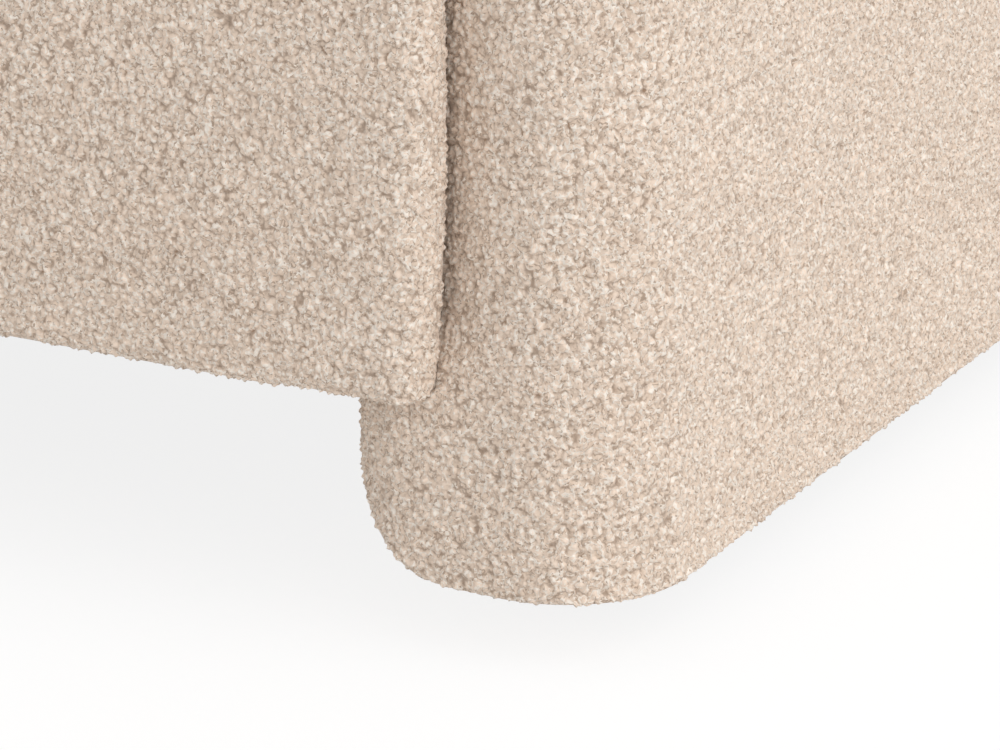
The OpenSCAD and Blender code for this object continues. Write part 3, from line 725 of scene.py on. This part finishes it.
def looped(piece):  # raises the yarn loops on the close-up vertices
    co = coordinates(piece.data)
    close = ramp(closeUp["margin"] - inView(co), closeUp["fade"])
    close *= ramp(towardsEye(co, vertexNormals(piece.data)) - closeUp["turned"], closeUp["turnedFade"])
    piece.data.attributes.new("close", "FLOAT", "POINT").data.foreach_set("value", close)
    piece.modifiers.new("loops", "NODES").node_group = yarnLoops()
    applied(piece)
    lift = co - coordinates(piece.data)
    piece.data.attributes.new("lift", "FLOAT_VECTOR", "POINT").data.foreach_set("vector", lift.ravel())


def pad(piece, fill, *replaced):
    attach(piece, "root")
    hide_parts(*replaced)
    print(piece.name, len(piece.data.polygons), "faces")


def makeArms():
    plan = rectangle(armLow, armHigh)
    right = formed("armPadRight", plan, armLow[2], armHigh[2], armPad["cell"], armDistance)
    left = twin(right, "armPadLeft")
    co = settled(coordinates(left.data), lambda p: armDistance(p, armPad["seeds"][1]), 3)
    setCoordinates(left.data, co * (-1, 1, 1))
    left.data.flip_normals()
    refined(right, armDistance)
    looped(right)
    pad(right, 0.95, "arm_cover_right", "arm_foam_right")
    pad(left, 0.95, "arm_cover_left", "arm_foam_left")


def makeSeat():
    # the plan keeps a little inside the nose, which laps over the arms' fronts
    outline = seatPad["outline"]
    noseEnd = seatPad["noseHalf"] - outline["inset"]
    rightSide = [(noseEnd, seatLow[1]), (noseEnd, seatLow[1] + outline["noseDepth"]),
                 (innerSide + outline["past"], armLow[1] + armPad["dip"]),
                 (innerSide, armLow[1] + armPad["endRadius"]), (innerSide, seatHigh[1])]
    plan = rightSide + [(-x, y) for x, y in rightSide[::-1]]
    seat = formed("seatPad", plan, seatLow[2], seatHigh[2], seatPad["cell"], seatDistance)
    refined(seat, seatDistance)
    looped(seat)
    pad(seat, 0.9, "seat_cover", "seat_foam")


def makeBack():
    plan = rectangle((-innerSide, backLow[1]), (innerSide, backHigh[1]))
    back = formed("backPad", plan, backLow[2], backHigh[2], backPad["cell"], backDistance)
    pad(back, 0.95, "back_cover", "back_foam")


makeArms()
makeSeat()
makeBack()
print("pads formed")

# the loose back cushions are blown up as cloth round their filling
cushion = {
    "thick": 0.150,
    "high": 0.365,
    "sunk": 0.034,  # below where it rests, before the seat holds it up
    "pressed": 0.004,  # how much of its rear is pressed flat against the back
    "round": 0.042,
    "taken": 0.022,  # how much smaller it starts
    "cell": 0.0075,
    "pressure": 5.0,
    "frames": 20,
    "swell": 0.030,  # the furthest a point may move
    "crown": 0.14,  # the share by which the middle is thicker
    "seamDepth": 0.0035,
    "seamWidth": 0.0045,
    "uneven": 0.0014,
    "unevenSize": 0.13,
    "unevenFade": 0.04,
    "seeds": (31, 37),  # right and left
    "gap": 0.0003,  # to the seat and the back
}
cushionLow, cushionHigh = corners("cushion_cover_right")
lean = math.atan2(backHigh[1] - backPad["topDepth"] - backLow[1], backHigh[2] - backPad["knee"])


def cushionShape(low, high):  # upright, with its rear in the plane y = 0
    low = Vector([v + cushion["taken"] for v in low])
    high = Vector([v - cushion["taken"] for v in high])
    bm = bmesh.new()
    middle = Matrix.Translation((low + high) / 2)
    bmesh.ops.create_cube(bm, size=1, matrix=middle @ Matrix.Diagonal((*(high - low), 1)))
    bmesh.ops.bevel(bm, geom=bm.edges[:], offset=cushion["round"], segments=6, profile=0.5, affect="EDGES",
                    material=-1)
    piece = pieceFrom(bm, "cushionRight", finishes["boucle"])
    remeshed(piece, cushion["cell"])
    return piece


def blownUp(piece):
    cloth = piece.modifiers.new("swelling", "CLOTH")
    cloth.settings.quality = 5
    cloth.settings.use_pressure = True
    cloth.settings.uniform_pressure_force = cushion["pressure"]
    cloth.settings.effector_weights.gravity = 0
    cloth.collision_settings.use_collision = False
    cloth.point_cache.frame_start = 1
    cloth.point_cache.frame_end = cushion["frames"]
    before = coordinates(piece.data)
    for frameNumber in range(1, cushion["frames"] + 1):
        scene.frame_set(frameNumber)
    applied(piece)
    scene.frame_set(1)
    move = coordinates(piece.data) - before
    length = np.maximum(np.linalg.norm(move, axis=1, keepdims=True), 1e-9)
    return before + move / length * cushion["swell"] * np.tanh(length / cushion["swell"])


def sized(co, low, high):
    reach = co.max(0) - co.min(0)
    return (co - co.min(0)) / reach * (np.array(high) - low) + low


def seamed(piece, middle):  # the border's seam, half-way through its thickness
    co = coordinates(piece.data)
    normals = vertexNormals(piece.data)
    border = np.clip(1.6 - 2 * np.abs(normals[:, 1]), 0, 1)  # 1 on the border, 0 on the broad faces
    groove = cushion["seamDepth"] * np.exp(-((co[:, 1] - middle) / cushion["seamWidth"]) ** 2) * border
    setCoordinates(piece.data, co - normals * groove[:, None])


def seatTop(x, y):  # where the crowned seat holds a cushion up
    return seatHigh[2] + seatCrown(x, y) + cushion["gap"]


def leant(piece, seed, side):  # back against the back pad, down on the seat
    co = coordinates(piece.data)
    inward = ramp(np.minimum(co[:, 0] - cushionLow[0], cushionHigh[0] - co[:, 0]), cushion["unevenFade"])
    uneven = (lumps(co, seed, cushion["unevenSize"], cushion["uneven"]) - cushion["uneven"] / 2) * inward
    co += vertexNormals(piece.data) * uneven[:, None]
    x, behind, up = co[:, 0], np.clip(co[:, 1], -cushion["thick"] - cushion["pressed"], 0), co[:, 2]
    y = backLow[1] - cushion["gap"] + behind * math.cos(lean) + up * math.sin(lean)
    z = cushionLow[2] - behind * math.sin(lean) + up * math.cos(lean)
    setCoordinates(piece.data, np.stack([x * side, y, np.maximum(z, seatTop(x, y))], 1))
    if side < 0:
        piece.data.flip_normals()


def makeCushions():
    low = (cushionLow[0], -cushion["thick"], -cushion["sunk"])
    high = (cushionHigh[0], cushion["pressed"], cushion["high"])
    right = cushionShape(low, high)
    plump = blownUp(right)
    crowned = bulge(plump[:, 0], low[0], high[0]) * bulge(plump[:, 2], low[2], high[2])
    plump[:, 1] *= 1 + cushion["crown"] * crowned
    setCoordinates(right.data, sized(plump, low, high))
    smooth = right.modifiers.new("smooth", "SUBSURF")
    smooth.levels = smooth.render_levels = 1
    applied(right)
    seamed(right, -cushion["thick"] / 2)
    left = twin(right, "cushionLeft")
    leant(right, cushion["seeds"][0], 1)
    leant(left, cushion["seeds"][1], -1)
    pad(right, 0.7, "cushion_cover_right", "cushion_insert_right")
    pad(left, 0.7, "cushion_cover_left", "cushion_insert_left")


makeCushions()
print("cushions plumped")

# the feet and the centre legs are turned
leg = {
    "rimRadius": 0.0018,
    "collar": 0.006,
    "grooveDepth": 0.0009,
    "grooveFrom": 0.0006,  # above the collar's foot
    "grooveTo": 0.0014,
    "grooveEnd": 0.0022,
    "topEdge": 0.0006,
    "belly": 0.0012,  # on a leg as tall as bellyHeight
    "bellyHeight": 0.144,
    "steps": 10,
    "sides": 48,
}


def legProfile(tall, toeRadius, topRadius):
    rim, edge, step = leg["rimRadius"], leg["topEdge"], tall - leg["collar"]

    def radius(up):  # from toe to top, with a slight belly
        belly = leg["belly"] * math.sin(math.pi * up) * tall / leg["bellyHeight"]
        return toeRadius + (topRadius - toeRadius) * up + belly

    profile = [(0, 0), (toeRadius - rim, 0)]
    for turn in (0.5, 1.05, 1.57):
        profile.append((toeRadius - rim + rim * math.sin(turn), rim - rim * math.cos(turn)))
    for k in range(1, leg["steps"] + 1):
        up = (rim + (step - rim) * k / leg["steps"]) / tall
        profile.append((radius(up), up * tall))
    inGroove = radius(1) - leg["grooveDepth"]
    profile += [(inGroove, step + leg["grooveFrom"]), (inGroove, step + leg["grooveTo"])]
    profile += [(radius(1), step + leg["grooveEnd"]), (radius(1), tall - edge), (radius(1) - edge, tall)]
    return profile + [(0, tall)]


def turned(name, node):  # a profile spun about the leg's own axis
    low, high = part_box(node)
    middle = (low + high) / 2
    co = coordinates(nodes[node].data)
    toe = co[co[:, 2] < low.z + 0.0005]
    toeRadius = (toe[:, 0].max() - toe[:, 0].min()) / 2
    profile = legProfile(high.z - low.z, toeRadius, (high.x - low.x) / 2)
    bm = bmesh.new()
    points = [bm.verts.new((middle.x + r, middle.y, low.z + h)) for r, h in profile]
    edges = [bm.edges.new(pair) for pair in zip(points, points[1:])]
    bmesh.ops.spin(bm, geom=points + edges, cent=(middle.x, middle.y, low.z), axis=(0, 0, 1), dvec=(0, 0, 0),
                   angle=2 * math.pi, steps=leg["sides"], use_merge=True)
    bmesh.ops.remove_doubles(bm, verts=bm.verts[:], dist=0.00001)
    bmesh.ops.recalc_face_normals(bm, faces=bm.faces[:])
    piece = pieceFrom(bm, name, finishes["leg_wood"])
    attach(piece, "root")
    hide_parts(node)


for name, node in (("footFrontRight", "foot_front_right"), ("footFrontLeft", "foot_front_left"),
                   ("footRearRight", "foot_rear_right"), ("footRearLeft", "foot_rear_left"),
                   ("legFront", "centre_leg_front"), ("legRear", "centre_leg_rear")):
    turned(name, node)
print("legs turned")

# thin cloths are stretched under the seat, back and arms
underCloth = {
    "thick": 0.0008,
    "sag": 0.004,
    "cell": 0.02,
    "below": 0.0004,
    "middleHalf": 0.04,  # half of the strip that holds the seat's cloth up
}


def stretchedCloth(name, node, heldAtMiddle=False):
    low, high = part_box(node)
    wide, long = high.x - low.x, high.y - low.y
    place = Matrix.Translation(((low.x + high.x) / 2, (low.y + high.y) / 2, low.z - underCloth["below"]))
    bm = bmesh.new()
    bmesh.ops.create_grid(bm, x_segments=max(4, round(wide / underCloth["cell"])),
                          y_segments=max(4, round(long / underCloth["cell"])), size=0.5,
                          matrix=place @ Matrix.Diagonal((wide, long, 1, 1)))
    piece = pieceFrom(bm, name, finishes["dust_cover"])
    if heldAtMiddle:
        co = coordinates(piece.data)
        across, half = np.abs(co[:, 0]), underCloth["middleHalf"]
        sagging = bulge(across, half, high.x) * (across > half) * bulge(co[:, 1], low.y, high.y)
        co[:, 2] -= underCloth["sag"] * sagging
        setCoordinates(piece.data, co)
    solid = piece.modifiers.new("thickness", "SOLIDIFY")
    solid.thickness = underCloth["thick"]
    solid.offset = 0
    applied(piece)
    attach(piece, "root")
    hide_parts(node)


stretchedCloth("seatUnderCloth", "seat_dust_cover", True)
stretchedCloth("backUnderCloth", "back_dust_cover")
stretchedCloth("armUnderClothRight", "arm_dust_cover_right")
stretchedCloth("armUnderClothLeft", "arm_dust_cover_left")
print("cloths stretched")

studio = {
    "floor": 80,  # across
    "floorColour": (0.94, 0.935, 0.925, 1),
    "floorWhite": 0.8,  # how much of it the camera sees as plain white
    "floorGlow": 1.06,
    "ambient": 0.69,
    "ambientColour": (1.0, 0.99, 0.98, 1),
    "sunEnergy": 1.0,
    "sunSpread": 60,
    "sunTurn": 77,
    "sunHeight": 36,
}


def seenWhite(start):  # 1 for camera, mirror and see-through rays
    path = start.node("ShaderNodeLightPath", output="Is Camera Ray")
    seen = path.maths("MAXIMUM", path.also("Is Glossy Ray"))
    return seen.maths("MAXIMUM", path.also("Is Transmission Ray"))


def whiteFloor():
    material = bpy.data.materials.new("floorWhite")
    material.use_nodes = True
    material.node_tree.nodes.clear()
    start = Signal(material.node_tree)
    lit = start.node("ShaderNodeBsdfDiffuse", {}, {"Color": studio["floorColour"]})
    white = start.node("ShaderNodeEmission", {}, {"Strength": studio["floorGlow"]})
    share = seenWhite(start) * studio["floorWhite"]
    shown = start.node("ShaderNodeMixShader", {}, {0: share, 1: lit, 2: white})
    start.node("ShaderNodeOutputMaterial", {}, {"Surface": shown})
    return material


def layFloor():
    bm = bmesh.new()
    bmesh.ops.create_grid(bm, x_segments=8, y_segments=8, size=studio["floor"] / 2)
    floor = bpy.data.objects.new("floor", bpy.data.meshes.new("floor"))
    bm.to_mesh(floor.data)
    bm.free()
    scene.collection.objects.link(floor)
    floor.data.materials.append(whiteFloor())


def lightWorld():
    scene.world = bpy.data.worlds.new("studio")
    scene.world.use_nodes = True
    scene.world.node_tree.nodes.clear()
    start = Signal(scene.world.node_tree)
    soft = start.node("ShaderNodeBackground", {},
                      {"Color": studio["ambientColour"], "Strength": studio["ambient"]})
    bright = start.node("ShaderNodeBackground", {}, {"Color": (1, 1, 1, 1), "Strength": 1.0})
    shown = start.node("ShaderNodeMixShader", {}, {0: seenWhite(start), 1: soft, 2: bright})
    start.node("ShaderNodeOutputWorld", {}, {"Surface": shown})


def hangSun():
    sun = bpy.data.objects.new("keyLight", bpy.data.lights.new("keyLight", "SUN"))
    sun.data.energy = studio["sunEnergy"]
    sun.data.angle = math.radians(studio["sunSpread"])
    sun.rotation_euler = outwards(studio["sunTurn"], studio["sunHeight"]).to_track_quat("Z", "Y").to_euler()
    scene.collection.objects.link(sun)


layFloor()
lightWorld()
hangSun()
scene.view_settings.view_transform = "Standard"
print("studio lit")
